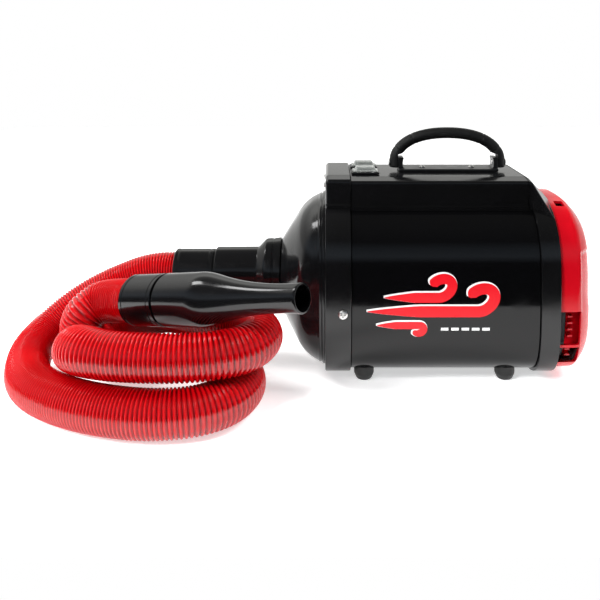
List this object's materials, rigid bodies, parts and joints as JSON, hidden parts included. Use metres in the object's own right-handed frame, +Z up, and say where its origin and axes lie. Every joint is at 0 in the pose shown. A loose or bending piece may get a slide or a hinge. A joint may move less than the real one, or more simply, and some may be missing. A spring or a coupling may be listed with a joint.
{
  "type": "pet dryer",
  "caption": "Portable twin-motor forced-air dryer: rounded-square black barrel, red intake cap, folding carry handle, corrugated stretch hose with tapered nozzle.",
  "frame": {"origin": "on the floor under the middle of the machine, measured without the hose and the pieces on it", "axes": "+X from the air outlet towards the intake cap, +Y towards the side with the cord gland, +Z up"},
  "size_m": [0.6361, 0.3176, 0.2724],
  "materials": {
    "barrel_black": "gloss black enamel",
    "gloss_black": "glossy moulded black",
    "cap_red": "glossy moulded red",
    "hose_red": "glossy ribbed red stretch hose",
    "satin_black": "satin moulded black",
    "clear_cover": "clear soft cover",
    "rubber_black": "satin black rubber",
    "foam_black": "open-cell foam",
    "bright_steel": "bright plated steel",
    "motor_aluminium": "plain aluminium",
    "winding_copper": "lacquered copper and steel"
  },
  "bodies": {
    "housing": {"acoustic_liner": "foam_black", "barrel_shell": "barrel_black", "bracket_screw_front": "bright_steel", "bracket_screw_rear": "bright_steel", "cord_gland": "rubber_black", "deck_cover": "barrel_black", "deck_screw_left": "bright_steel", "deck_screw_right": "bright_steel", "end_bracket_left": "satin_black", "end_bracket_right": "satin_black", "fan_housing_left": "motor_aluminium", "fan_housing_right": "motor_aluminium", "filter_grille": "satin_black", "foam_filter": "foam_black", "foot_front_left": "rubber_black", "foot_front_right": "rubber_black", "foot_rear_left": "rubber_black", "foot_rear_right": "rubber_black", "foot_screw_front_left": "bright_steel", "foot_screw_front_right": "bright_steel", "foot_screw_rear_left": "bright_steel", "foot_screw_rear_right": "bright_steel", "front_band": "barrel_black", "handle_bracket": "satin_black", "handle_pin_front": "bright_steel", "handle_pin_rear": "bright_steel", "hose": "hose_red", "motor_bulkhead": "motor_aluminium", "motor_gasket_left": "rubber_black", "motor_gasket_right": "rubber_black", "nose_cone": "gloss_black", "nozzle_cuff": "gloss_black", "outlet_cuff": "gloss_black", "outlet_spigot": "gloss_black", "rear_ring": "gloss_black", "side_screw_left": "bright_steel", "side_screw_right": "bright_steel", "stator_left": "winding_copper", "stator_right": "winding_copper", "switch_body_left": "satin_black", "switch_body_right": "satin_black", "switch_hood_left": "clear_cover", "switch_hood_right": "clear_cover", "terminal_block": "satin_black"},
    "handle": {"handle_grip": "rubber_black"},
    "rocker_left": {"switch_rocker_left": "satin_black"},
    "rocker_right": {"switch_rocker_right": "satin_black"},
    "rotor_left": {"armature_left": "bright_steel", "impeller_left": "motor_aluminium"},
    "rotor_right": {"armature_right": "bright_steel", "impeller_right": "motor_aluminium"},
    "intake_cap": {"rear_cap": "cap_red"},
    "nozzle": {"nozzle": "gloss_black"}
  },
  "joints": [
    {"name": "handle_fold", "type": "hinge", "parent": "housing", "child": "handle", "pos_m": [0.0673, 0, 0.2305], "axis": [1, 0, 0], "range_deg": [-80, 80]},
    {"name": "rocker_left_tilt", "type": "hinge", "parent": "housing", "child": "rocker_left", "pos_m": [-0.031, -0.0205, 0.2196], "axis": [0, 1, 0], "range_deg": [-16, 0]},
    {"name": "rocker_right_tilt", "type": "hinge", "parent": "housing", "child": "rocker_right", "pos_m": [-0.031, 0.0205, 0.2196], "axis": [0, 1, 0], "range_deg": [-16, 0]},
    {"name": "rotor_left_spin", "type": "hinge", "parent": "housing", "child": "rotor_left", "pos_m": [0.05, -0.047, 0.099], "axis": [1, 0, 0], "continuous": true},
    {"name": "rotor_right_spin", "type": "hinge", "parent": "housing", "child": "rotor_right", "pos_m": [0.05, 0.047, 0.099], "axis": [1, 0, 0], "continuous": true},
    {"name": "intake_cap_pull", "type": "slide", "parent": "housing", "child": "intake_cap", "axis": [1, 0, 0], "range_m": [0, 0.06]},
    {"name": "nozzle_pull", "type": "slide", "parent": "housing", "child": "nozzle", "axis": [0.8267, -0.5278, 0.1949], "range_m": [0, 0.03]}
  ]
}
